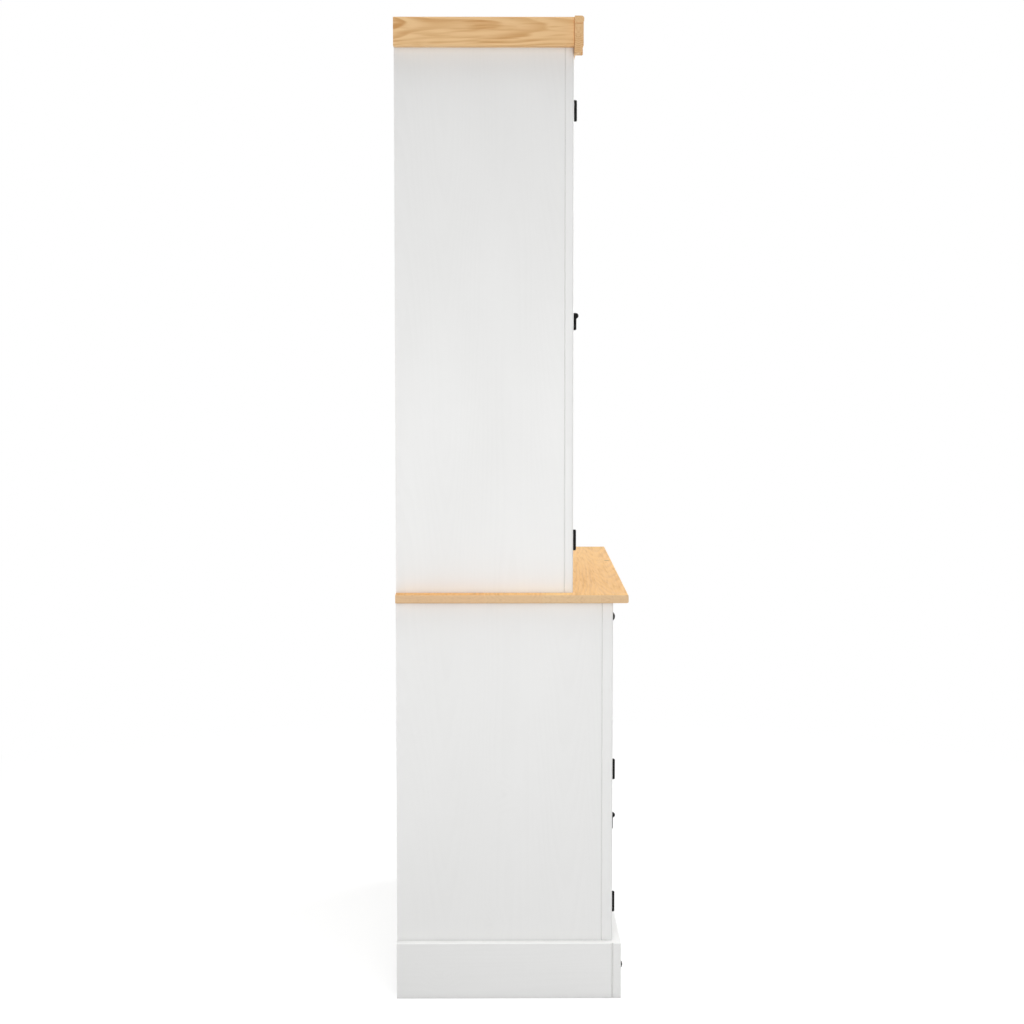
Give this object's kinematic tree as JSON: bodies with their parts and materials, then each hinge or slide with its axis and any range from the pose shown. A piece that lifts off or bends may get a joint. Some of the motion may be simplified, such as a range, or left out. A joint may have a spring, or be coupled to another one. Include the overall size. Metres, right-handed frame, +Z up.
{
  "type": "tall cupboard",
  "caption": "Tall white-painted cupboard with a drawer and panelled doors below a pine worktop, and a set-back glazed hutch under an arched pine cornice.",
  "frame": {"origin": "on the floor under the middle of the worktop", "axes": "+X to the right of someone facing the front, -Y towards the front, +Y towards the wall, +Z up"},
  "size_m": [0.8, 0.43, 1.812],
  "materials": {
    "white_paint": "satin white paint",
    "waxed_pine": "waxed",
    "plain_pine": "bare",
    "plywood": "thin white wash",
    "black_iron": "black, waxed",
    "glass": "clear",
    "catch_plastic": "matt"
  },
  "bodies": {
    "cabinet": {"base_side_left": "white_paint", "base_side_right": "white_paint", "base_floor_board": "white_paint", "base_shelf": "white_paint", "base_stile_left": "white_paint", "base_stile_right": "white_paint", "base_centre_stile": "white_paint", "base_rails": "white_paint", "plinth_front": "white_paint", "plinth_left": "white_paint", "plinth_right": "white_paint", "hutch_side_left": "white_paint", "hutch_side_right": "white_paint", "hutch_top_board": "white_paint", "hutch_floor_board": "white_paint", "hutch_shelves": "white_paint", "hutch_stile_left": "white_paint", "hutch_stile_right": "white_paint", "hutch_centre_stile": "white_paint", "hutch_rails": "white_paint", "shelf_battens": "white_paint", "worktop": "waxed_pine", "cornice_side_left": "waxed_pine", "cornice_side_right": "waxed_pine", "cornice_fascia": "waxed_pine", "cornice_cap": "waxed_pine", "worktop_fixing_rail": "plain_pine", "drawer_runners": "plain_pine", "base_back_panel": "plywood", "hutch_back_panel": "plywood", "hinge_frame_leaves": "black_iron", "hinge_pins": "black_iron", "decorative_studs": "black_iron", "door_catches": "catch_plastic"},
    "base_left_door": {"base_left_door_frame": "white_paint", "base_left_door_panel": "white_paint", "base_left_door_hinge_leaves": "black_iron", "base_left_door_pull_mount": "black_iron"},
    "base_left_door_pull": {"base_left_door_pull_drop": "black_iron"},
    "base_right_door": {"base_right_door_frame": "white_paint", "base_right_door_panel": "white_paint", "base_right_door_hinge_leaves": "black_iron", "base_right_door_pull_mount": "black_iron"},
    "base_right_door_pull": {"base_right_door_pull_drop": "black_iron"},
    "hutch_left_door": {"hutch_left_door_frame": "white_paint", "hutch_left_door_pane": "glass", "hutch_left_door_hinge_leaves": "black_iron", "hutch_left_door_pull_mount": "black_iron"},
    "hutch_left_door_pull": {"hutch_left_door_pull_drop": "black_iron"},
    "hutch_right_door": {"hutch_right_door_frame": "white_paint", "hutch_right_door_pane": "glass", "hutch_right_door_hinge_leaves": "black_iron", "hutch_right_door_pull_mount": "black_iron"},
    "hutch_right_door_pull": {"hutch_right_door_pull_drop": "black_iron"},
    "drawer": {"drawer_front": "white_paint", "drawer_box": "plain_pine", "drawer_bottom": "plywood", "drawer_pull_mount": "black_iron"},
    "drawer_pull": {"drawer_pull_drop": "black_iron"}
  },
  "joints": [
    {"name": "base_left_door_hinge", "type": "hinge", "parent": "cabinet", "child": "base_left_door", "pos_m": [-0.336, -0.1915, 0.293], "axis": [0, 0, -1], "range_deg": [0, 165]},
    {"name": "base_left_door_pull_swing", "type": "hinge", "parent": "base_left_door", "child": "base_left_door_pull", "pos_m": [-0.052, -0.2045, 0.259], "axis": [-1, 0, 0], "range_deg": [-12, 90]},
    {"name": "base_right_door_hinge", "type": "hinge", "parent": "cabinet", "child": "base_right_door", "pos_m": [0.336, -0.1915, 0.293], "axis": [0, 0, 1], "range_deg": [0, 165]},
    {"name": "base_right_door_pull_swing", "type": "hinge", "parent": "base_right_door", "child": "base_right_door_pull", "pos_m": [0.052, -0.2045, 0.259], "axis": [-1, 0, 0], "range_deg": [-12, 90]},
    {"name": "hutch_left_door_hinge", "type": "hinge", "parent": "cabinet", "child": "hutch_left_door", "pos_m": [-0.326, -0.1175, 1.252], "axis": [0, 0, -1], "range_deg": [0, 165]},
    {"name": "hutch_left_door_pull_swing", "type": "hinge", "parent": "hutch_left_door", "child": "hutch_left_door_pull", "pos_m": [-0.052, -0.1275, 1.276], "axis": [-1, 0, 0], "range_deg": [-12, 90]},
    {"name": "hutch_right_door_hinge", "type": "hinge", "parent": "cabinet", "child": "hutch_right_door", "pos_m": [0.326, -0.1175, 1.252], "axis": [0, 0, 1], "range_deg": [0, 165]},
    {"name": "hutch_right_door_pull_swing", "type": "hinge", "parent": "hutch_right_door", "child": "hutch_right_door_pull", "pos_m": [0.052, -0.1275, 1.276], "axis": [-1, 0, 0], "range_deg": [-12, 90]},
    {"name": "drawer_slide", "type": "slide", "parent": "cabinet", "child": "drawer", "axis": [0, -1, 0], "range_m": [0, 0.28]},
    {"name": "drawer_pull_swing", "type": "hinge", "parent": "drawer", "child": "drawer_pull", "pos_m": [0, -0.2015, 0.611], "axis": [-1, 0, 0], "range_deg": [-12, 90]}
  ]
}
